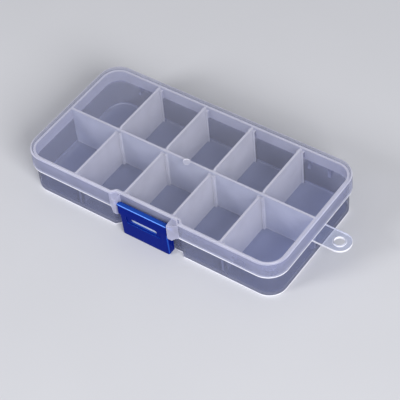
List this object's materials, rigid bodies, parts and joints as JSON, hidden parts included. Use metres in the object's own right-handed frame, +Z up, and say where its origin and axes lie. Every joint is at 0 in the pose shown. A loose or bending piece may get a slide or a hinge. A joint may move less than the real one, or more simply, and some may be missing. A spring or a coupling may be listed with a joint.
{
  "type": "compartment storage box",
  "caption": "Shallow clear plastic compartment box with a hinged lid, a blue front latch, loose dividers and a hanging tab.",
  "frame": {"origin": "centre of the tray's underside, under the middle of the lid's outline", "axes": "+X along the box towards the hanging tab, -Y towards the latch, +Z up"},
  "size_m": [0.1426, 0.0711, 0.022],
  "materials": {
    "clear_tray": "clear polypropylene, smooth moulded",
    "clear_lid": "clear polypropylene, smooth moulded",
    "milky_divider": "milky polypropylene, fine matt",
    "blue_latch": "opaque blue polypropylene, glossy"
  },
  "bodies": {
    "tray": {"base_tray": "clear_tray", "divider_back_1": "milky_divider", "divider_back_2": "milky_divider", "divider_back_3": "milky_divider", "divider_back_4": "milky_divider", "divider_front_1": "milky_divider", "divider_front_2": "milky_divider", "divider_front_3": "milky_divider", "divider_front_4": "milky_divider"},
    "lid": {"lid": "clear_lid"},
    "latch": {"latch": "blue_latch"}
  },
  "joints": [
    {"name": "lid_hinge", "type": "hinge", "parent": "tray", "child": "lid", "pos_m": [0, 0.0344, 0.0126], "axis": [-1, 0, 0], "range_deg": [0, 180]},
    {"name": "latch_pivot", "type": "hinge", "parent": "lid", "child": "latch", "pos_m": [0, -0.0326, 0.017], "axis": [-1, 0, 0], "range_deg": [0, 110]}
  ]
}
